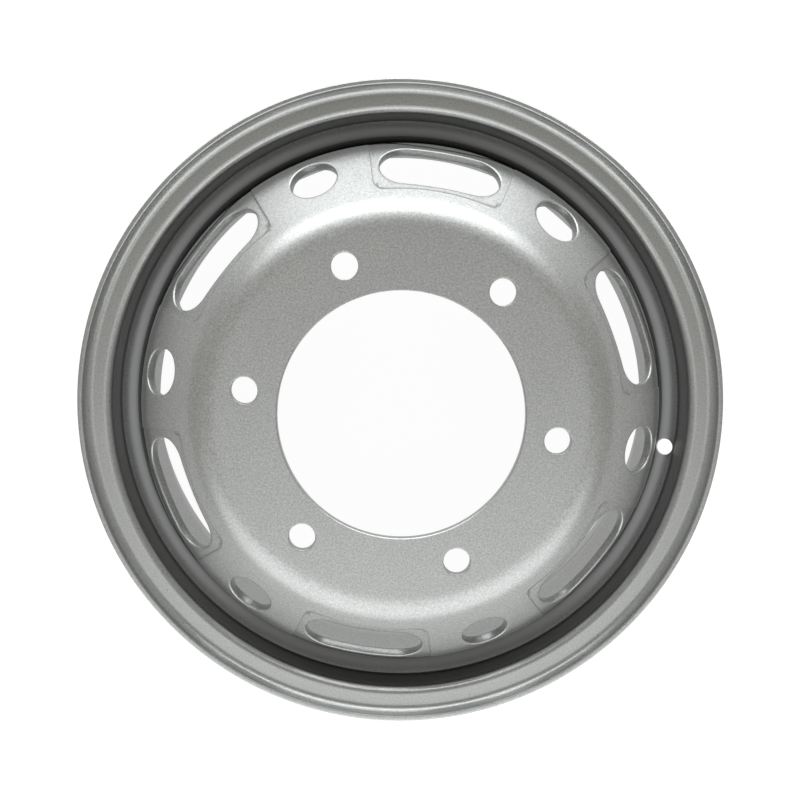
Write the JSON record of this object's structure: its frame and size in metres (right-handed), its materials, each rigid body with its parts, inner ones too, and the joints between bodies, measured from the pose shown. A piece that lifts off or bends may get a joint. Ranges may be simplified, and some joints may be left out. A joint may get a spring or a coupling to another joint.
{
  "type": "steel wheel rim",
  "caption": "Painted steel wheel with a rolled drop-centre rim and a welded pressed disc, convex outward, with a wide centre bore, bolt holes, oblong slots and round vents.",
  "frame": {"origin": "centre of the circle on which the inner lip of the rim rests", "axes": "+Z along the wheel axis toward the outer, convex face of the disc; +X through the valve hole, a round vent and a bolt hole"},
  "size_m": [0.4402, 0.44, 0.1998],
  "materials": {
    "rim_paint": "silver metallic paint, semi-gloss",
    "disc_paint": "silver metallic paint, semi-gloss, fine grain",
    "weld_paint": "silver metallic paint over weld beads"
  },
  "bodies": {
    "root": {"rim": "rim_paint", "disc": "disc_paint", "weld_seams": "weld_paint"}
  },
  "joints": []
}
